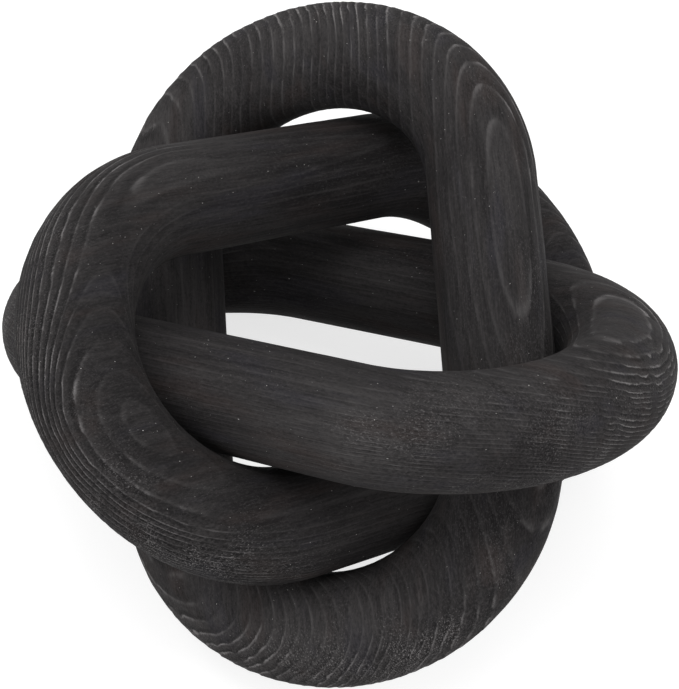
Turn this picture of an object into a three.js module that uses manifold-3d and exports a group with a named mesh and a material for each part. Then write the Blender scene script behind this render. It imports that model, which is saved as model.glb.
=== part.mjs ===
// Wooden chain link sculpture: three loops of round bar, each threaded through the next,
// that stand on a table as a loose nest. Millimetres, +Z up, origin on the table, under
// the middle of the nest.
import * as THREE from 'three';
import { mergeVertices } from 'three/addons/utils/BufferGeometryUtils.js';
import Module from 'manifold-3d';

// The bar and the loop that it makes: two straight arms and two half-round bends
const barDiameter = 30;
const innerWidth = 61; // clear width between a link's two arms
const endPlay = 5.5; // free length at each end, past the two arms that a link goes round

// The glued joint in the middle of each arm, and the fluted pin across it
const glueLine = 0.3;
const pinDiameter = 10;
const pinLength = 40;
const pinChamfer = 1;
const fluteCount = 12;
const fluteDepth = 0.5;
const pinClearance = 0.3; // between the pin and the wall of its hole
const holeEndRoom = 1; // spare depth at each end of the pin, for glue

// How the links lie. Each lies flat, leans about a level axis in its own plane, and is
// turned by its share of a full turn. How far they lean follows from the sizes above:
// the nest folds flat until its links touch.
const seatGap = 0.35; // what is left between touching links
const nestTurn = 26; // degrees, of the whole nest on the table
const leanAxis = 41.5; // degrees, from a link's long axis to the axis that it leans about

// How each link has slipped from the even nest: degrees of lean, of its leaning axis and
// of its turn, and millimetres over the table
const links = [
  { name: 'left_link', lean: 0.7, axis: -2.2, turn: 0.8, shift: [1.4, 0.1] },
  { name: 'right_link', lean: -0.6, axis: -0.7, turn: -2.1, shift: [-0.9, -0.9] },
  { name: 'back_link', lean: -0.1, axis: 2.9, turn: 1.3, shift: [-0.5, 0.8] },
];

// Smoothness of the faceted solids
const barSides = 24;
const bendSteps = 24;
const holeSides = 24;
const touchSamples = 720;

// What follows from the sizes
const barRadius = barDiameter / 2;
const bendRadius = (innerWidth + barDiameter) / 2; // to the middle of the bar
const armHalf = barDiameter + endPlay; // half of a straight arm
const openLean = THREE.MathUtils.radToDeg(Math.acos(1 / Math.sqrt(3))); // links square on

const blackWood = new THREE.MeshStandardMaterial({ color: 0x322f2f, roughness: 0.72, metalness: 0 });
const pinWood = new THREE.MeshStandardMaterial({ color: 0xc9a675, roughness: 0.8, metalness: 0 });

const wasm = await Module();
wasm.setup();

function toSolid(geometry) {
  const bare = geometry.clone();
  bare.deleteAttribute('normal');
  bare.deleteAttribute('uv');
  const merged = mergeVertices(bare, 1e-4);
  return new wasm.Manifold(new wasm.Mesh({
    numProp: 3,
    vertProperties: new Float32Array(merged.attributes.position.array),
    triVerts: new Uint32Array(merged.index.array),
  }));
}

function toGeometry(solid) {
  const mesh = solid.getMesh();
  const geometry = new THREE.BufferGeometry();
  geometry.setAttribute('position', new THREE.BufferAttribute(mesh.vertProperties, 3));
  geometry.setIndex(new THREE.BufferAttribute(mesh.triVerts, 1));
  geometry.computeVertexNormals();
  return geometry;
}

// The middle line of half a link, in the link's plane: an arm's half, the bend, and the
// other arm's half. The long axis is X, and side says which bend it is. Stations fall on
// the ends of the bend, so the arms take one step each.
class HalfLinkLine extends THREE.Curve {
  constructor(side) {
    super();
    this.side = side;
    this.steps = bendSteps + 2;
  }

  getPointAt(u) {
    const station = u * this.steps;
    const seam = glueLine / 2;
    if (station < 1) {
      return this.place(seam + station * (armHalf - seam), -bendRadius);
    }
    if (station > bendSteps + 1) {
      return this.place(armHalf - (station - bendSteps - 1) * (armHalf - seam), bendRadius);
    }
    const angle = Math.PI * ((station - 1) / bendSteps - 0.5);
    return this.place(armHalf + bendRadius * Math.cos(angle), bendRadius * Math.sin(angle));
  }

  getTangentAt(u) {
    const station = THREE.MathUtils.clamp(u * this.steps, 1, bendSteps + 1);
    const angle = Math.PI * (station - 1) / bendSteps;
    return new THREE.Vector3(this.side * Math.cos(angle), Math.sin(angle), 0);
  }

  place(x, y) {
    return new THREE.Vector3(this.side * x, y, 0);
  }
}

// A hole for the joint pin, bored into both halves of an arm before they are glued
function pinHole(arm) {
  const radius = pinDiameter / 2 + pinClearance;
  const hole = new THREE.CylinderGeometry(radius, radius, pinLength + 2 * holeEndRoom, holeSides);
  hole.rotateZ(Math.PI / 2);
  hole.translate(0, arm * bendRadius, 0);
  return toSolid(hole);
}

function halfLink(side) {
  const section = new THREE.Shape().absarc(0, 0, barRadius, 0, 2 * Math.PI);
  const line = new HalfLinkLine(side);
  const bar = new THREE.ExtrudeGeometry(section, {
    curveSegments: barSides / 2, // of half a turn
    steps: line.steps,
    extrudePath: line,
    bevelEnabled: false,
  });
  return toGeometry(toSolid(bar).subtract(pinHole(-1)).subtract(pinHole(1)));
}

// The pin has straight flutes for the glue and a chamfer at each end
function jointPin(arm) {
  const points = [];
  for (let i = 0; i < 2 * fluteCount; i += 1) {
    const radius = pinDiameter / 2 - (i % 2) * fluteDepth;
    const angle = Math.PI * i / fluteCount;
    points.push(new THREE.Vector2(radius * Math.cos(angle), radius * Math.sin(angle)));
  }
  const pin = new THREE.ExtrudeGeometry(new THREE.Shape(points), {
    depth: pinLength - 2 * pinChamfer,
    bevelThickness: pinChamfer,
    bevelSize: pinChamfer,
    bevelOffset: -pinChamfer,
    bevelSegments: 1,
  });
  pin.translate(0, 0, pinChamfer - pinLength / 2);
  pin.rotateY(Math.PI / 2);
  pin.translate(0, arm * bendRadius, 0);
  return pin;
}

// Where a link stands when the nest leans by so many degrees. Its height is that of the
// middle of the link above its own foot, the lowest point of a bend.
function placeLink(link, index, nestLean) {
  const lean = THREE.MathUtils.degToRad(nestLean + link.lean);
  const axis = THREE.MathUtils.degToRad(leanAxis + link.axis);
  const turn = THREE.MathUtils.degToRad(nestTurn + link.turn + index * 360 / links.length);
  const tilted = new THREE.Quaternion().setFromAxisAngle(
    new THREE.Vector3(Math.cos(axis), Math.sin(axis), 0),
    lean,
  );
  const turned = new THREE.Quaternion().setFromAxisAngle(new THREE.Vector3(0, 0, 1), turn);
  const longRise = Math.sin(axis) * Math.sin(lean);
  const footDrop = armHalf * Math.abs(longRise) + bendRadius * Math.sin(lean) + barRadius;
  return {
    quaternion: turned.multiply(tilted),
    position: new THREE.Vector3(link.shift[0], link.shift[1], footDrop),
  };
}

// Points along a link's middle line, evenly spaced in its own frame
function middleLine(count) {
  const perHalf = count / 2;
  const halfLength = 2 * armHalf + Math.PI * bendRadius;
  const points = [];
  for (let i = 0; i < perHalf; i += 1) {
    const along = halfLength * i / perHalf;
    const angle = (along - 2 * armHalf) / bendRadius;
    const point = angle < 0
      ? new THREE.Vector3(along - armHalf, -bendRadius, 0)
      : new THREE.Vector3(armHalf + bendRadius * Math.sin(angle), -bendRadius * Math.cos(angle), 0);
    points.push(point, new THREE.Vector3(-point.x, -point.y, 0));
  }
  return points;
}

// How far a point is from a link's middle line, in that link's own frame
function distanceToLink(point) {
  const pastArm = Math.max(Math.abs(point.x) - armHalf, 0);
  return Math.hypot(Math.hypot(pastArm, point.y) - bendRadius, point.z);
}

function narrowestGap(nestLean) {
  const places = links.map((link, index) => placeLink(link, index, nestLean));
  const line = middleLine(touchSamples);
  let narrowest = Infinity;
  places.forEach((place, index) => {
    const other = places[(index + 1) % places.length];
    const back = other.quaternion.clone().invert();
    for (const local of line) {
      const point = local.clone().applyQuaternion(place.quaternion).add(place.position);
      const inOther = point.sub(other.position).applyQuaternion(back);
      narrowest = Math.min(narrowest, distanceToLink(inOther) - barDiameter);
    }
  });
  return narrowest;
}

// The nest folds from its open form, where the links stand square to each other, until
// two links are a seat gap apart
function settledLean() {
  let open = openLean;
  let folded = 0;
  for (let step = 0; step < 40; step += 1) {
    const middle = (open + folded) / 2;
    if (narrowestGap(middle) > seatGap) {
      open = middle;
    } else {
      folded = middle;
    }
  }
  return open;
}

function addPiece(group, name, geometry, material) {
  const mesh = new THREE.Mesh(geometry, material);
  mesh.name = name;
  group.add(mesh);
}

const highHalf = halfLink(-1);
const lowHalf = halfLink(1);
const upperPin = jointPin(1);
const lowerPin = jointPin(-1);
const nestLean = settledLean();
const nest = new THREE.Group();

links.forEach((link, index) => {
  const loop = new THREE.Group();
  const place = placeLink(link, index, nestLean);
  loop.quaternion.copy(place.quaternion);
  loop.position.copy(place.position);
  addPiece(loop, `${link.name}_high_half`, highHalf, blackWood);
  addPiece(loop, `${link.name}_low_half`, lowHalf, blackWood);
  addPiece(loop, `${link.name}_upper_pin`, upperPin, pinWood);
  addPiece(loop, `${link.name}_lower_pin`, lowerPin, pinWood);
  nest.add(loop);
});

// The middle of the nest's box goes over the origin, with its feet on the table
nest.updateMatrixWorld(true);
const box = new THREE.Box3().setFromObject(nest, true);
const middle = box.getCenter(new THREE.Vector3());
nest.position.set(-middle.x, -middle.y, -box.min.z);

export default nest;
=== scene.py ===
import math

import bpy
import numpy as np
from mathutils import Euler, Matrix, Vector


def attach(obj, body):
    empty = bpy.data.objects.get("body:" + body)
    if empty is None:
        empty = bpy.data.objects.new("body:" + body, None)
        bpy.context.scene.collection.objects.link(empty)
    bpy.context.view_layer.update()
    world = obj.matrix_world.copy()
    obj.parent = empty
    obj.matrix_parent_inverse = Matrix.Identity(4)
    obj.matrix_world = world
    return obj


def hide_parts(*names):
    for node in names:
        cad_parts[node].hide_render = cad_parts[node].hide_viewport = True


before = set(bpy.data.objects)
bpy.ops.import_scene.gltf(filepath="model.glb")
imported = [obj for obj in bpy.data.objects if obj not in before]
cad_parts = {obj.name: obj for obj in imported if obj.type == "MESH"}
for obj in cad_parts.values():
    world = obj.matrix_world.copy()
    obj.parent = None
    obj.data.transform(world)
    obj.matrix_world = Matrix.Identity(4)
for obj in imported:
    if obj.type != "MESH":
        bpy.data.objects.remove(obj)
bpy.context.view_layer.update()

# The looks of three interlocked wooden links. Each half link gets a skin with its raised growth
# rings, which replaces the half's plain CAD node. The dowel pins stay and get a material.
#
# Everything below is in metres in the CAD's frame, except that a link's surface is worked out
# in millimetres in the link's own frame: X along it, Y across it to its upper arm, Z out of
# its plane. A length for each axis is written (along, across, out).
MM = 0.001

# The bar and the loop that it makes
BAR_RADIUS = 15.0
BEND_RADIUS = 45.5  # to the middle of the bar
ARM_HALF = 35.5
PIN_HOLE_RADIUS = 5.3
PIN_HOLE_DEPTH = 21.0

# The mesh of a half link: the bar's surface in steps of half a millimetre
STEPS_ALONG = 430
STEPS_ROUND = 190

# The raised growth rings, brushed out of the softwood, and the finer wear between them
RING_DEPTH = 0.25
RING_RISE = 0.25  # the part of a ring in which its edge rises
RING_FALL_CURVE = 1.4
PORE_DEPTH = 0.05
PORE_SIZE = (5, 0.9, 0.9)
PEBBLE_DEPTH = 0.12
PEBBLE_SIZE = (1.6, 0.9, 0.9)
HAND_DEPTH = 0.16  # the uneven roundness of a bar that was sanded by hand
HAND_SIZE = (15, 15, 15)

# A ring fades out of the mesh where one step of the mesh takes in this share of a ring
STEP_FADE_START = 0.22
STEP_FADE_END = 0.42

# The layers aren't quite even: their height is off by up to half of these
SLOW_UNEVENNESS = 0.6
SLOW_SIZE = (60, 22, 22)
QUICK_UNEVENNESS = 0.35
QUICK_SIZE = (16, 6, 6)

# Where the brush has worked: from the arms to the end of a bend, on its outside, in patches
BRUSH_START = ARM_HALF - 14
BRUSH_FULL = ARM_HALF + 32
LOWER_ARM_RELIEF = 0.04
OUTSIDE_SHIFT = 0.38
OUTSIDE_CURVE = 2.5
BRUSH_PATCH_SIZE = (40, 16, 16)
BRUSH_LEAST = 0.3
BRUSH_RANGE = 1.1
BRUSH_GAIN = 1.2

# Where the rings have broken off, and where they have broken into pits
BREAK_SIZE = (7, 2.6, 2.6)
BREAK_NONE = 0.65
BREAK_FULL = 0.3
PEBBLED_WIDTH = 50
PEBBLED_LOSS = 0.35
PITS_EVERYWHERE = 0.45
PITS_WHERE_PEBBLED = 0.6
CUT_END_WEAR = 0.2  # for the cut ends, which the glue hides

# The thinning of the stain, in clouds and in streaks along the grain
CLOUD_SIZE = (45, 20, 20)
CLOUD_STRENGTH = 0.9
STREAK_SIZE = (20, 9, 9)
STREAK_STRENGTH = 0.45

# Added to a link's seed, one for each kind of noise in its surface
SLOW_SEED = 0
QUICK_SEED = 1
HAND_SEED = 2
PORE_SEED = 3
BREAK_SEED = 5
PEBBLE_SEED = 6

# Each link is cut from another part of the board, this far off for each step of its seed
BOARD_SPACING = 200.0


def bulge(y, rise, middle, width):
    """A swelling of the growth layers that runs along a link."""
    return rise * np.exp(-((y - middle) / width) ** 2)


def left_layers(x, y, z):
    """Height of the growth layers through the left link: nearly flat, with two bulges."""
    return (z - 0.009 * x + 0.17 * y - 0.0004 * x * y
            + bulge(y, 7.8, -6.5, 23.3) + bulge(y, 21.1, -40.7, 42.9))


def right_layers(x, y, z):
    """The right link's layers: nearly flat, with one wide bulge."""
    return z - 0.011 * x + 0.062 * y + 0.0002 * x * y + bulge(y, 25.0, -18.2, 50.4)


def back_layers(x, y, z):
    """The back link was sawn across its layers, which fan out to the outside of both bends."""
    unit = 50  # millimetres, so that the terms compare
    x, y, z = x / unit, y / unit, z / unit
    bow = 0.571 * y * y * z + 0.725 * y * z * z - 0.259 * y ** 3 - 0.051 * x * x * y
    bend = (-0.077 * y * y - 0.945 * z * z - 0.008 * x * x
            - 0.099 * y * z - 0.03 * x * y - 0.149 * x * z)
    return unit * (y + 0.018 * x - 0.267 * z + bend + bow)


# What makes each link's wood its own.
# The rings start at the height first of the layers. They are width apart up to the height
# knee and outer_width apart above it, and by swing of a ring they crowd and spread in turns,
# a period apart from the height turn on.
# arm_relief and side_relief say how far the rings stand up on the upper arm and on the inner
# side of a bend, rough_side how much more on the upper arm's side, and broken how much of
# them has broken off. They give way to pits on the side that pebbled points to, from
# pebbled_from millimetres on.
# tone scales the colours of the stain, fray frays the edges of the rings, and grit is how
# much pale grit and how many dark pores show.
LINKS = {
    "left_link": {
        "layers": left_layers,
        "first": 13.6, "width": 1.75, "knee": 24.2, "outer_width": 2.3,
        "swing": 0.27, "turn": 0.5, "period": 11.4,
        "seed": 11, "brush_seed": 5889, "cloud_seed": 12830, "streak_seed": 7535,
        "arm_relief": 0.14, "side_relief": 0.08, "rough_side": 0.15, "broken": 0.5,
        "pebbled": (0.0, -1.0), "pebbled_from": -5.0,
        "tone": 0.84, "fray": 0.19, "grit": 1.4,
    },
    "right_link": {
        "layers": right_layers,
        "first": 17.7, "width": 1.23, "knee": 27.0, "outer_width": 3.1,
        "swing": 0.76, "turn": 8.0, "period": 23.7,
        "seed": 23, "brush_seed": 4804, "cloud_seed": 4966, "streak_seed": 14557,
        "arm_relief": 0.14, "side_relief": 0.25, "rough_side": -0.55, "broken": 0.75,
        "pebbled": (0.0, 1.0), "pebbled_from": 0.0,
        "tone": 0.99, "fray": 0.3, "grit": 1.2,
    },
    "back_link": {
        "layers": back_layers,
        "first": -37.8, "width": 2.5, "knee": 6.3, "outer_width": 2.23,
        "swing": 0.33, "turn": 3.6, "period": 31.8,
        "seed": 37, "brush_seed": 8279, "cloud_seed": 13029, "streak_seed": 7291,
        "arm_relief": 0.7, "side_relief": 0.15, "rough_side": -0.4, "broken": 0.6,
        "pebbled": (0.6, 0.8), "pebbled_from": 15.0,
        "tone": 1.03, "fray": 0.26, "grit": 1.4,
    },
}

# Colours of the stain, before a link's tone, and two colours of painted shade for the raised rings
STAIN = {
    "thick": (0.0140, 0.0131, 0.0136),
    "thin": (0.050, 0.0471, 0.0473),
    "warm": (0.042, 0.033, 0.031),
    "cool": (0.031, 0.030, 0.037),
    "dark streak": (0.013, 0.012, 0.0125),
    "pale streak": (0.058, 0.054, 0.0545),
    "dark mottle": (0.007, 0.006, 0.007),
    "pale mottle": (0.07, 0.0645, 0.0645),
    "dark fibre": (0.006, 0.006, 0.006),
    "pale fibre": (0.065, 0.06, 0.06),
    # painted shading: pale just behind a ring's edge, fading down its slope
    "slope of a ring": (0.075, 0.07, 0.07),
    # painted shade in the groove before a ring's edge
    "painted_groove_shade": (0.006, 0.006, 0.006),
    "rubbed edge": (0.22, 0.21, 0.21),
    "pit": (0.010, 0.0095, 0.010),
    "pebble": (0.085, 0.080, 0.081),
    "pore": (0.003, 0.003, 0.003),
    "grit": (0.22, 0.21, 0.21),
}
DUST = (0.42, 0.41, 0.40, 1)  # lies on the stain, so it has no tone

# The bump of the black wood: shares of its height, and its depth in millimetres
EDGE_BUMP = 0.6
FIBRE_BUMP = 0.5
PORE_BUMP = -0.45
SPECKLE_BUMP = 0.6
WOOD_BUMP_DEPTH = 0.35

BEECH_DEEP = (0.50, 0.32, 0.17, 1)
BEECH_PALE = (0.64, 0.45, 0.27, 1)
BEECH_FLECK = (0.33, 0.19, 0.09, 1)
BEECH_BUMP_DEPTH = 0.2


def node_points(name):
    """The vertices of a CAD node, in millimetres."""
    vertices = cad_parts[name].data.vertices
    places = np.empty(3 * len(vertices), np.float32)
    vertices.foreach_get("co", places)
    return places.reshape(-1, 3).astype(float) / MM


def link_place(body):
    """The three axes of a link, as columns, and its middle, from the pins in its two joints."""
    upper = node_points(f"{body}_upper_pin")
    lower = node_points(f"{body}_lower_pin")
    upper_middle = upper.mean(axis=0)
    lower_middle = lower.mean(axis=0)
    middle = (upper_middle + lower_middle) / 2
    across = upper_middle - lower_middle
    across = across / np.linalg.norm(across)
    centred = np.concatenate([upper - upper_middle, lower - lower_middle])
    length = np.linalg.svd(centred, full_matrices=False)[2][0]
    to_low_half = node_points(f"{body}_low_half").mean(axis=0) - middle
    length = length * np.sign(length @ to_low_half)
    return np.stack([length, across, np.cross(length, across)], axis=1), middle


def soft_noise(points, size, seed):
    """Smooth noise from 0 to 1 in lumps of about that size, from a repeating random lattice."""
    cells = 24
    lattice = np.random.default_rng(seed).random((cells, cells, cells))
    place = points / np.asarray(size, float)
    cell = np.floor(place).astype(int)
    part = place - cell
    part = part * part * (3 - 2 * part)
    total = np.zeros(len(points))
    for corner in np.ndindex(2, 2, 2):
        weight = np.prod(np.where(np.array(corner) == 1, part, 1 - part), axis=1)
        i, j, k = ((cell + corner) % cells).T
        total += weight * lattice[i, j, k]
    return total


def smooth_step(value, low, high):
    part = np.clip((value - low) / (high - low), 0, 1)
    return part * part * (3 - 2 * part)


def ring_count(link, points):
    """How many growth rings lie below each point, a number that runs on from ring to ring."""
    seed = link["seed"]
    height = link["layers"](*points.T)
    slow = soft_noise(points, SLOW_SIZE, seed + SLOW_SEED) - 0.5
    height = height + SLOW_UNEVENNESS * slow
    quick = soft_noise(points, QUICK_SIZE, seed + QUICK_SEED) - 0.5
    height = height + QUICK_UNEVENNESS * quick
    outer = np.maximum(height - link["knee"], 0)
    count = (height - outer - link["first"]) / link["width"] + outer / link["outer_width"]
    wave = np.sin(2 * math.pi * (height - link["turn"]) / link["period"])
    return count + link["swing"] * wave


def bar_surface(side, along, around, radius):
    """Points of half a link.

    side is 1 for the low half and -1 for its mirror image, the high half. along goes from one
    cut end to the other, 0 to 1, and around is the angle round the bar.
    """
    bend = math.pi * BEND_RADIUS
    run = along * (2 * ARM_HALF + bend)
    angle = np.clip((run - ARM_HALF) / BEND_RADIUS, 0, math.pi) - math.pi / 2
    straight = np.minimum(0, np.minimum(run - ARM_HALF, ARM_HALF + bend - run))
    out = BEND_RADIUS + radius * np.cos(around)
    x = side * (ARM_HALF + straight + out * np.cos(angle))
    y = out * np.sin(angle)
    z = radius * np.sin(around)
    return np.stack([x, y, np.broadcast_to(z, x.shape)], axis=-1)


def brushing(link, points, around):
    """How hard the brush has worked, 0 to 1: most outside the bends, little on the arms."""
    bend = smooth_step(np.abs(points[:, 0]), BRUSH_START, BRUSH_FULL)
    arm = np.where(points[:, 1] > 0, link["arm_relief"], LOWER_ARM_RELIEF)
    turned_out = np.clip((np.cos(around) + OUTSIDE_SHIFT) / (1 + OUTSIDE_SHIFT), 0, 1)
    side = link["side_relief"]
    outside = side + (1 - side) * turned_out ** OUTSIDE_CURVE
    one_side = 1 + link["rough_side"] * points[:, 1] / (BEND_RADIUS + BAR_RADIUS)
    patches = soft_noise(points, BRUSH_PATCH_SIZE, link["brush_seed"])
    patchy = BRUSH_LEAST + BRUSH_RANGE * patches
    return np.clip((arm + (1 - arm) * bend) * outside * one_side * patchy * BRUSH_GAIN, 0, 1)


def pebbled(link, points):
    """0 where the brush has left the rings whole, to 1 where it has broken them into pits."""
    across = points[:, :2] @ np.array(link["pebbled"])
    start = link["pebbled_from"]
    return smooth_step(across, start, start + PEBBLED_WIDTH)


def ring_strength(link, points, brushed):
    """How far the rings stand up, 0 to 1. They break off in places."""
    breaks = soft_noise(points, BREAK_SIZE, link["seed"] + BREAK_SEED)
    whole = 1 - link["broken"] * (1 - smooth_step(breaks, BREAK_FULL, BREAK_NONE))
    return brushed * whole * (1 - PEBBLED_LOSS * pebbled(link, points))


def stain_thinness(link, points):
    """How far the black stain has thinned, 0 to 1."""
    clouds = soft_noise(points, CLOUD_SIZE, link["cloud_seed"]) - 0.5
    streaks = soft_noise(points, STREAK_SIZE, link["streak_seed"]) - 0.5
    return np.clip(0.5 + CLOUD_STRENGTH * clouds + STREAK_STRENGTH * streaks, 0, 1)


def ring_height(count):
    """A ring's height, 0 to 1: it rises steeply to its edge, then falls to the next ring."""
    part = count - np.floor(count)
    rise = smooth_step(part, 1 - RING_RISE, 1)
    fall = np.clip(1 - part / (1 - RING_RISE), 0, 1) ** RING_FALL_CURVE
    return np.maximum(rise, fall)


def ring_fade(grid):
    """1 where the mesh can show the rings, 0 where they are too fine and are left to the bump."""
    step_along = np.abs(np.gradient(grid, axis=0))
    step_round = np.abs(np.roll(grid, -1, axis=1) - np.roll(grid, 1, axis=1)) / 2
    step = np.maximum(step_along, step_round)
    return np.clip((STEP_FADE_END - step) / (STEP_FADE_END - STEP_FADE_START), 0, 1)


def worn_grain(link, points, shape, around):
    """How deep the bar is worn at each point of its grid, and what the material reads there."""
    seed = link["seed"]
    count = ring_count(link, points)
    grid = count.reshape(shape)
    brushed = brushing(link, points, around)
    relief = ring_strength(link, points, brushed)
    pits = brushed * (PITS_EVERYWHERE + PITS_WHERE_PEBBLED * pebbled(link, points))
    grooves = RING_DEPTH * ring_fade(grid) * relief.reshape(shape) * (1 - ring_height(grid))
    hand = soft_noise(points, HAND_SIZE, seed + HAND_SEED)
    pores = soft_noise(points, PORE_SIZE, seed + PORE_SEED)
    pebbles = pits * soft_noise(points, PEBBLE_SIZE, seed + PEBBLE_SEED)
    wear = HAND_DEPTH * hand + PORE_DEPTH * pores + PEBBLE_DEPTH * pebbles
    return grooves + wear.reshape(shape), count, relief, pits


def neighbours(row):
    """The numbers of the vertices in a closed row that starts at row, and of the ones after."""
    place = np.arange(STEPS_ROUND)
    return row + place, row + (place + 1) % STEPS_ROUND


def band(first_row, second_row):
    """Quads between two closed rows of vertices."""
    first, after_first = neighbours(first_row)
    second, after_second = neighbours(second_row)
    return np.stack([first, after_first, after_second, second], axis=1)


def cut_end(side, arm, around, rim, used):
    """The glue face at an end of a half link, with the hole for its pin.

    arm is 1 at the upper arm and -1 at the lower one. rim is where the end's row of vertices
    starts, and used how many vertices there are.
    """
    mouth = np.stack([np.zeros(STEPS_ROUND),
                      arm * (BEND_RADIUS + PIN_HOLE_RADIUS * np.cos(around)),
                      PIN_HOLE_RADIUS * np.sin(around)], axis=1)
    bottom = mouth + (side * PIN_HOLE_DEPTH, 0, 0)
    centre = np.array([[side * PIN_HOLE_DEPTH, arm * BEND_RADIUS, 0]])
    bottom_row = used + STEPS_ROUND
    to_centre = np.full(STEPS_ROUND, bottom_row + STEPS_ROUND)
    fan = np.stack([*neighbours(bottom_row), to_centre], axis=1)
    faces = [band(rim, used), band(used, bottom_row), fan]
    if arm < 0:  # the circles run the other way round there
        faces = [group[:, ::-1] for group in faces]
    return [mouth, bottom, centre], faces


def new_mesh(name, places, faces, smooth_count):
    """A mesh from arrays of places and of faces, the first smooth_count of them shaded smooth."""
    corners = np.concatenate([group.ravel() for group in faces])
    sizes = np.concatenate([np.full(len(group), group.shape[1]) for group in faces])
    starts = np.r_[0, np.cumsum(sizes)[:-1]]
    mesh = bpy.data.meshes.new(name)
    mesh.vertices.add(len(places))
    mesh.vertices.foreach_set("co", places.astype(np.float32).ravel())
    mesh.loops.add(len(corners))
    mesh.loops.foreach_set("vertex_index", corners.astype(np.int32))
    mesh.polygons.add(len(sizes))
    mesh.polygons.foreach_set("loop_start", starts.astype(np.int32))
    mesh.polygons.foreach_set("use_smooth", np.arange(len(sizes)) < smooth_count)
    mesh.update(calc_edges=True)
    mesh.validate()
    return mesh


def sharpen_rims(mesh, last_row):
    """Marks the edges round both cut ends, whose rows of vertices start at 0 and at last_row."""
    ends = np.zeros(len(mesh.edges) * 2, np.int32)
    mesh.edges.foreach_get("vertices", ends)
    first_rim = ends < STEPS_ROUND
    last_rim = (ends >= last_row) & (ends < last_row + STEPS_ROUND)
    on_rim = (first_rim | last_rim).reshape(-1, 2)
    sharp = mesh.attributes.new("sharp_edge", "BOOLEAN", "EDGE")
    sharp.data.foreach_set("value", on_rim.all(axis=1))


def set_values(mesh, name, values):
    attribute = mesh.attributes.new(name, "FLOAT", "POINT")
    attribute.data.foreach_set("value", values.astype(np.float32))


def half_link(name, side, link, axes, middle):
    """One half of a link, with its raised grain and the two holes for its pins."""
    along = np.linspace(0, 1, STEPS_ALONG + 1)[:, None]
    around = np.linspace(0, 2 * math.pi, STEPS_ROUND, endpoint=False)
    smooth = bar_surface(side, along, around[None, :], BAR_RADIUS)
    shape = smooth.shape[:2]
    points = smooth.reshape(-1, 3)
    every_around = np.broadcast_to(around, shape).ravel()
    worn, count, relief, pits = worn_grain(link, points, shape, every_around)
    surface = bar_surface(side, along, around[None, :], BAR_RADIUS - worn)

    last_row = STEPS_ALONG * STEPS_ROUND
    rows = [surface.reshape(-1, 3)]
    faces = [band(row, row + STEPS_ROUND) for row in range(0, last_row, STEPS_ROUND)]
    used = len(points)
    for rim, arm in ((0, -1), (last_row, 1)):
        end_rows, end_faces = cut_end(side, arm, around, rim, used)
        rows += end_rows
        faces += end_faces
        used += sum(len(row) for row in end_rows)
    places = np.concatenate(rows)
    if side < 0:  # the mirror image, whose faces are turned to look outwards again
        faces = [group[:, ::-1] for group in faces]

    mesh = new_mesh(name, (places @ axes.T + middle) * MM, faces, last_row)
    sharpen_rims(mesh, last_row)

    # What the material reads: the rings, the wear, and the place in the wood in millimetres
    end_places = places[len(points):]
    end_wear = np.full(len(end_places), CUT_END_WEAR)
    set_values(mesh, "ring", np.concatenate([count, ring_count(link, end_places)]))
    set_values(mesh, "thinned", stain_thinness(link, places))
    set_values(mesh, "relief", np.concatenate([relief, end_wear]))
    set_values(mesh, "pits", np.concatenate([pits, end_wear]))
    grain = mesh.attributes.new("grain", "FLOAT_VECTOR", "POINT")
    in_board = places + (0, 0, BOARD_SPACING * link["seed"])
    grain.data.foreach_set("vector", in_board.astype(np.float32).ravel())
    piece = bpy.data.objects.new(name, mesh)
    bpy.context.scene.collection.objects.link(piece)
    return piece


def add(tree, kind, inputs=None, **settings):
    """Adds a shader node. An input is a value, or another node's output to link from."""
    node = tree.nodes.new("ShaderNode" + kind)
    for key, value in settings.items():
        setattr(node, key, value)
    for key, value in (inputs or {}).items():
        if isinstance(value, bpy.types.NodeSocket):
            tree.links.new(value, node.inputs[key])
        else:
            node.inputs[key].default_value = value
    return node


def math_node(tree, operation, *values):
    return add(tree, "Math", dict(enumerate(values)), operation=operation).outputs[0]


def span(tree, value, low, high, to_low=0.0, to_high=1.0, smooth=True):
    """value between low and high, spread over to_low to to_high."""
    node = add(tree, "MapRange", {"Value": value, "From Min": low, "From Max": high,
                                  "To Min": to_low, "To Max": to_high},
               interpolation_type="SMOOTHSTEP" if smooth else "LINEAR")
    return node.outputs["Result"]


def mix(tree, factor, a, b):
    """Mixes two colours. The sockets of the node for colours are its numbers 0, 6 and 7."""
    node = add(tree, "Mix", data_type="RGBA")
    for number, value in ((0, factor), (6, a), (7, b)):
        if isinstance(value, bpy.types.NodeSocket):
            tree.links.new(value, node.inputs[number])
        else:
            node.inputs[number].default_value = value
    return node.outputs[2]


def stretched_noise(tree, place, size, detail, roughness):
    """Noise of about one lump for each size in millimetres along X, Y and Z."""
    vector = add(tree, "VectorMath", {0: place, 1: tuple(1 / s for s in size)},
                 operation="MULTIPLY")
    noise = add(tree, "TexNoise", {"Vector": vector.outputs[0], "Scale": 1.0,
                                   "Detail": detail, "Roughness": roughness})
    return noise.outputs["Fac"]


def new_material(name):
    material = bpy.data.materials.new(name)
    material.use_nodes = True
    material.node_tree.nodes.clear()
    return material, material.node_tree


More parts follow.
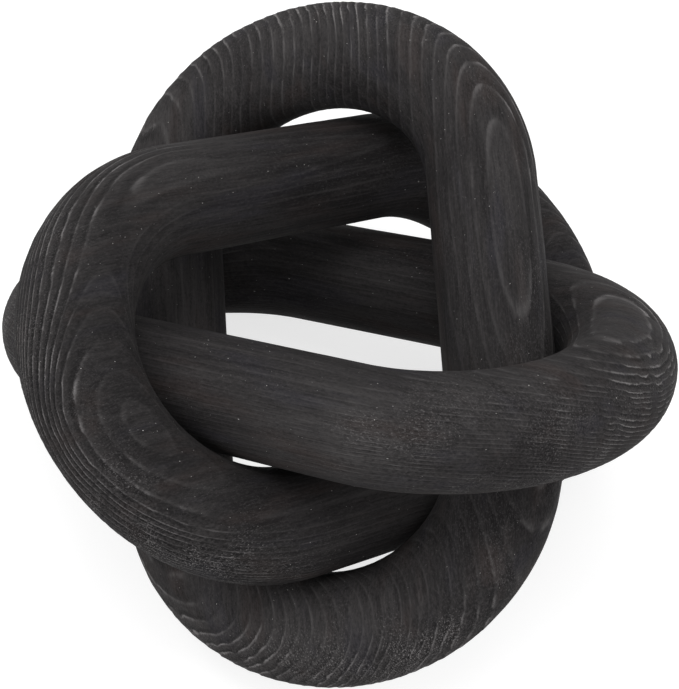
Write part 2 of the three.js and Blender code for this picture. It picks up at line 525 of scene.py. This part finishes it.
def black_wood(name, tone, fray, grit_amount):
    """Softwood stained black and brushed: the edge of each ring stands up and is rubbed pale, with
    painted shading down its slope and a painted dark shade in the groove before it.
    """
    material, tree = new_material(name)
    ring = add(tree, "Attribute", attribute_name="ring").outputs["Fac"]
    relief = add(tree, "Attribute", attribute_name="relief").outputs["Fac"]
    pits = add(tree, "Attribute", attribute_name="pits").outputs["Fac"]
    thinned = add(tree, "Attribute", attribute_name="thinned").outputs["Fac"]
    place = add(tree, "Attribute", attribute_name="grain").outputs["Vector"]

    fibre = stretched_noise(tree, place, size=(9.0, 0.5, 0.5), detail=4.0, roughness=0.65)
    pores = stretched_noise(tree, place, size=(2.4, 0.4, 0.4), detail=2.0, roughness=0.6)
    speckle = stretched_noise(tree, place, size=(0.7, 0.36, 0.36), detail=2.0, roughness=0.75)
    dust = stretched_noise(tree, place, size=(0.8, 0.5, 0.5), detail=1.0, roughness=0.5)
    tint = stretched_noise(tree, place, size=(40.0, 9.0, 9.0), detail=3.0, roughness=0.5)
    wear = stretched_noise(tree, place, size=(14.0, 5.0, 5.0), detail=3.0, roughness=0.6)
    patch = stretched_noise(tree, place, size=(18.0, 12.0, 12.0), detail=2.0, roughness=0.5)
    mottle = stretched_noise(tree, place, size=(1.1, 0.55, 0.55), detail=4.0, roughness=0.7)
    pebble = stretched_noise(tree, place, size=(1.5, 0.6, 0.6), detail=2.0, roughness=0.6)
    streak = stretched_noise(tree, place, size=(30.0, 3.0, 3.0), detail=3.0, roughness=0.6)

    def stain(colour):
        red, green, blue = STAIN[colour]
        return (tone * red, tone * green, tone * blue, 1)

    def times(value, other):
        return math_node(tree, "MULTIPLY", value, other)

    def by_relief(value, flat, raised):
        """value, times flat where no ring stands up and times raised where they do most."""
        return times(value, span(tree, relief, 0.0, 1.0, flat, raised))

    def by_pits(value, smooth, pitted):
        return times(value, span(tree, pits, 0.0, 1.0, smooth, pitted))

    # The edge of a ring is frayed by the fibres. Behind it the ring falls away, and before
    # it lies a groove. The slope gets painted shading, pale at the edge and darker further down,
    # and the groove gets a painted dark shade.
    frayed = math_node(tree, "ADD", ring, by_relief(fibre, 0.4 * fray, 1.7 * fray))
    frayed = math_node(tree, "ADD", frayed, by_relief(speckle, 0.2 * fray, 1.3 * fray))
    part = math_node(tree, "FRACT", frayed)
    edge = math_node(tree, "MAXIMUM", span(tree, part, 0.0, 0.2, 1.0, 0.0),
                     span(tree, part, 0.9, 1.0))
    # mask of the painted shading down the slope behind a ring's edge
    painted_slope_shade = span(tree, part, 0.0, 0.9, 1.0, 0.0, smooth=False)
    # mask of the painted shade in the groove before a ring's edge
    painted_groove_shade = times(span(tree, part, 0.45, 0.75), span(tree, part, 0.8, 0.93, 1.0, 0.0))
    rubbed = times(edge, span(tree, wear, 0.38, 0.6, 0.12, 1.0))
    open_pores = times(span(tree, pores, 0.53, 0.66), span(tree, patch, 0.4, 0.65, 0.2, 1.0))
    grit = times(span(tree, speckle, 0.55, 0.66), span(tree, patch, 0.4, 0.65, 0.1, 1.0))

    # The colours, from the broadest to the finest, each by how much of it shows where
    base = mix(tree, thinned, stain("thick"), stain("thin"))
    for colour, amount in (
            ("warm", span(tree, tint, 0.52, 0.7, 0.0, 0.6)),
            ("cool", span(tree, tint, 0.3, 0.46, 0.5, 0.0)),
            ("dark streak", span(tree, streak, 0.48, 0.68, 0.0, 0.35)),
            ("pale streak", span(tree, streak, 0.32, 0.5, 0.3, 0.0)),
            ("dark mottle", span(tree, mottle, 0.5, 0.7, 0.0, 0.42)),
            ("pale mottle", span(tree, mottle, 0.32, 0.48, 0.3, 0.0)),
            ("dark fibre", by_relief(span(tree, fibre, 0.48, 0.68), 0.32, 0.6)),
            ("pale fibre", by_relief(span(tree, fibre, 0.34, 0.46, 1.0, 0.0), 0.24, 0.5)),
            # painted shading down the slope behind a ring's edge
            ("slope of a ring", by_relief(painted_slope_shade, 0.05, 0.7)),
            # painted shade in the groove before a ring's edge
            ("painted_groove_shade", by_relief(painted_groove_shade, 0.08, 0.55)),
            ("rubbed edge", by_relief(rubbed, 0.05, 1.4)),
            ("pit", by_pits(span(tree, pebble, 0.5, 0.62), 0.0, 0.6)),
            ("pebble", by_pits(span(tree, pebble, 0.38, 0.47, 1.0, 0.0), 0.0, 0.35)),
            ("pore", by_pits(open_pores, 0.1, 0.5 * grit_amount)),
            ("grit", by_pits(grit, 0.06 * grit_amount, 0.75 * grit_amount)),
    ):
        base = mix(tree, amount, base, stain(colour))
    base = mix(tree, span(tree, dust, 0.79, 0.81, 0.0, 0.85), base, DUST)

    sunk_pores = span(tree, pores, 0.55, 0.72)
    height = math_node(tree, "MULTIPLY_ADD", edge, EDGE_BUMP, times(fibre, FIBRE_BUMP))
    height = math_node(tree, "MULTIPLY_ADD", sunk_pores, PORE_BUMP, height)
    height = math_node(tree, "MULTIPLY_ADD", speckle, SPECKLE_BUMP, height)
    bump = add(tree, "Bump", {"Height": by_relief(height, 0.2, 1.5), "Strength": 0.6,
                              "Distance": WOOD_BUMP_DEPTH * MM})

    rough = span(tree, wear, 0.25, 0.75, 0.8, 0.65, smooth=False)
    shader = add(tree, "BsdfPrincipled", {"Base Color": base, "Roughness": rough,
                                          "Specular IOR Level": 0.04,
                                          "Normal": bump.outputs[0]})
    add(tree, "OutputMaterial", {"Surface": shader.outputs[0]})
    return material


def bare_beech():
    """The pins in the joints: pale, with fine flecks."""
    material, tree = new_material("bare_beech")
    place = add(tree, "TexCoord").outputs["Object"]
    in_millimetres = add(tree, "VectorMath", {0: place, 1: (1 / MM,) * 3},
                         operation="MULTIPLY").outputs[0]
    streak = stretched_noise(tree, in_millimetres, size=(1.3, 1.3, 1.3), detail=4.0, roughness=0.6)
    fleck = stretched_noise(tree, in_millimetres, size=(0.5, 0.5, 0.5), detail=2.0, roughness=0.6)
    base = mix(tree, span(tree, streak, 0.3, 0.7), BEECH_DEEP, BEECH_PALE)
    base = mix(tree, span(tree, fleck, 0.6, 0.7, 0.0, 0.6), base, BEECH_FLECK)
    bump = add(tree, "Bump", {"Height": fleck, "Strength": 0.3, "Distance": BEECH_BUMP_DEPTH * MM})
    rough = span(tree, streak, 0.3, 0.7, 0.6, 0.8)
    shader = add(tree, "BsdfPrincipled", {"Base Color": base, "Roughness": rough,
                                          "Normal": bump.outputs[0]})
    add(tree, "OutputMaterial", {"Surface": shader.outputs[0]})
    return material


# The links
skins = []
beech = bare_beech()
for body, link in LINKS.items():
    wood = black_wood(f"black_wood_{body}", link["tone"], link["fray"], link["grit"])
    axes, middle = link_place(body)
    for part, side in (("high_half", -1), ("low_half", 1)):
        piece = half_link(f"{body}_{part}_grain", side, link, axes, middle)
        piece.data.materials.append(wood)
        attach(piece, body)
        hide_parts(f"{body}_{part}")
        skins.append(piece)
for name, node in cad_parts.items():
    if name.endswith("_pin"):
        node.data.materials.clear()
        node.data.materials.append(beech)


# The floor and the light. The world's FILL and the softboxes light the object. The floor's
# own glow and the rest of the world's white are only seen, directly or in a shine.
FILL = 0.6
WHITE = 1.0
FLOOR_COLOUR = (0.40, 0.40, 0.40, 1)
SEEN_FLOOR_COLOUR = (0.42, 0.42, 0.42, 1)
FLOOR_GLOW = 0.74
FLOOR_HALF = 12.0
SOFTBOX_SIZE = 0.6
SOFTBOX_TARGET = (0, 0, 0.05)
SOFTBOXES = {  # place, and power in watts
    "top_softbox": ((0, 0, 1.2), 3.6),
    "left_softbox": ((-1.1, 0, 0.4), 0.8),
    "left_back_softbox": ((-0.6, 0.6, 0.9), 2.2),
    "front_softbox": ((-0.25, -1.0, 0.65), 4.2),
    "right_softbox": ((1.0, 0.2, 0.5), 1.5),
}


def seen_directly(tree):
    """1 for what is seen, directly or in a shine, and 0 for the light that falls on the object."""
    path = add(tree, "LightPath")
    seen = math_node(tree, "MAXIMUM", path.outputs["Is Camera Ray"], path.outputs["Is Glossy Ray"])
    return math_node(tree, "MAXIMUM", seen, path.outputs["Is Transmission Ray"])


def floor_material():
    """A pale floor that photographs white, with a soft shadow under the object."""
    material, tree = new_material("pale_floor")
    seen = seen_directly(tree)
    colour = mix(tree, seen, FLOOR_COLOUR, SEEN_FLOOR_COLOUR)
    diffuse = add(tree, "BsdfDiffuse", {"Color": colour})
    strength = math_node(tree, "MULTIPLY", seen, FLOOR_GLOW)
    glow = add(tree, "Emission", {"Color": (1, 1, 1, 1), "Strength": strength})
    both = add(tree, "AddShader", {0: diffuse.outputs[0], 1: glow.outputs[0]})
    add(tree, "OutputMaterial", {"Surface": both.outputs[0]})
    return material


def plane(name, half):
    mesh = bpy.data.meshes.new(name)
    corners = [(-half, -half, 0), (half, -half, 0), (half, half, 0), (-half, half, 0)]
    mesh.from_pydata(corners, [], [(0, 1, 2, 3)])
    item = bpy.data.objects.new(name, mesh)
    bpy.context.scene.collection.objects.link(item)
    return item


def keep_below(item, pieces):
    """Lowers a floor to the lowest of the pieces when a joint takes one of them below it."""
    tree = bpy.data.node_groups.new("keep_below", "GeometryNodeTree")
    tree.interface.new_socket("Geometry", in_out="INPUT", socket_type="NodeSocketGeometry")
    tree.interface.new_socket("Geometry", in_out="OUTPUT", socket_type="NodeSocketGeometry")
    start = tree.nodes.new("NodeGroupInput")
    join = tree.nodes.new("GeometryNodeJoinGeometry")
    for piece in pieces:
        info = tree.nodes.new("GeometryNodeObjectInfo")
        info.transform_space = "RELATIVE"
        info.inputs["Object"].default_value = piece
        tree.links.new(info.outputs["Geometry"], join.inputs[0])
    box = tree.nodes.new("GeometryNodeBoundBox")
    tree.links.new(join.outputs[0], box.inputs[0])
    split = tree.nodes.new("ShaderNodeSeparateXYZ")
    tree.links.new(box.outputs["Min"], split.inputs[0])
    lowest = tree.nodes.new("ShaderNodeMath")
    lowest.operation = "MINIMUM"
    lowest.inputs[1].default_value = 0.0
    tree.links.new(split.outputs["Z"], lowest.inputs[0])
    offset = tree.nodes.new("ShaderNodeCombineXYZ")
    tree.links.new(lowest.outputs[0], offset.inputs["Z"])
    move = tree.nodes.new("GeometryNodeSetPosition")
    tree.links.new(start.outputs[0], move.inputs["Geometry"])
    tree.links.new(offset.outputs[0], move.inputs["Offset"])
    end = tree.nodes.new("NodeGroupOutput")
    tree.links.new(move.outputs[0], end.inputs[0])
    item.modifiers.new("keep_below", "NODES").node_group = tree


def softbox(name, place, power):
    lamp = bpy.data.lights.new(name, "AREA")
    lamp.shape = "SQUARE"
    lamp.size = SOFTBOX_SIZE
    lamp.energy = power
    item = bpy.data.objects.new(name, lamp)
    item.location = place
    away = Vector([p - t for p, t in zip(place, SOFTBOX_TARGET)])
    item.rotation_euler = away.to_track_quat("Z", "Y").to_euler()
    bpy.context.scene.collection.objects.link(item)


floor = plane("floor", FLOOR_HALF)
floor.data.materials.append(floor_material())
keep_below(floor, skins)

world = bpy.data.worlds.new("studio")
bpy.context.scene.world = world
world.use_nodes = True
world_tree = world.node_tree
world_tree.nodes.clear()
strength = math_node(world_tree, "MULTIPLY_ADD", seen_directly(world_tree), WHITE - FILL, FILL)
background = add(world_tree, "Background", {"Color": (1, 1, 1, 1), "Strength": strength})
add(world_tree, "OutputWorld", {"Surface": background.outputs[0]})

for name, (place, power) in SOFTBOXES.items():
    softbox(name, place, power)

# The camera, worked out from the outlines of the three links in the photograph
CAMERA_PLACE = (-0.0453, -0.34274, 0.47257)
CAMERA_TURN = (38.855, -3.507, -3.735)  # degrees
LENS = 105.47
SENSOR_WIDTH = 36.0
camera = bpy.data.cameras.new("camera")
camera.sensor_width = SENSOR_WIDTH
camera.lens = LENS
camera.clip_start = 0.01
eye = bpy.data.objects.new("camera", camera)
eye.location = CAMERA_PLACE
eye.rotation_euler = Euler([math.radians(angle) for angle in CAMERA_TURN])
bpy.context.scene.collection.objects.link(eye)
bpy.context.scene.camera = eye

bpy.context.scene.view_settings.view_transform = "Standard"
